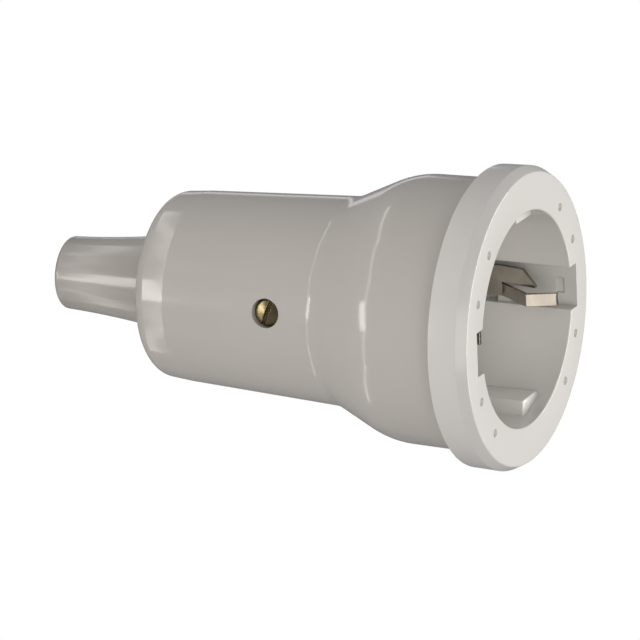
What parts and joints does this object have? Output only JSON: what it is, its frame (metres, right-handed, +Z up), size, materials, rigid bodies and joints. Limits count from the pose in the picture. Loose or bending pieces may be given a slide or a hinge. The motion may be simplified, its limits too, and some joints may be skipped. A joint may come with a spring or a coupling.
{
  "type": "inline socket connector",
  "caption": "Round inline socket for a two-pin plug with side earth clips: white face and well in a grey shell with a bend sleeve.",
  "frame": {"origin": "on the connector's axis, at the tip of its bend sleeve, where it stands", "axes": "+Z up, along the connector's length, out of the face; -Y towards the side with the shell's screw; the connector stands on the flat tip of its bend sleeve"},
  "size_m": [0.0546, 0.0546, 0.0917],
  "materials": {
    "shell": "glossy moulded grey thermoplastic",
    "sleeve": "glossy flexible grey plastic",
    "insert": "off-white moulded thermoplastic",
    "base": "matt moulded thermoset",
    "nickel": "nickel-plated spring strip",
    "brass": "turned brass",
    "zinc": "zinc-plated steel"
  },
  "bodies": {
    "root": {"shell": "shell", "bend_sleeve": "sleeve", "socket_insert": "insert", "contact_base": "base", "clamp_saddle": "base", "earth_strap": "nickel", "near_earth_clip": "nickel", "far_earth_clip": "nickel", "near_earth_rivet": "brass", "far_earth_rivet": "brass", "earth_terminal": "brass", "earth_terminal_screw": "zinc", "upper_pin_contact": "brass", "lower_pin_contact": "brass", "upper_terminal": "brass", "lower_terminal": "brass", "upper_terminal_screw": "zinc", "lower_terminal_screw": "zinc", "upper_base_screw": "zinc", "lower_base_screw": "zinc", "upper_clamp_screw": "zinc", "lower_clamp_screw": "zinc", "shell_screw": "brass", "shell_nut": "zinc"}
  },
  "joints": []
}
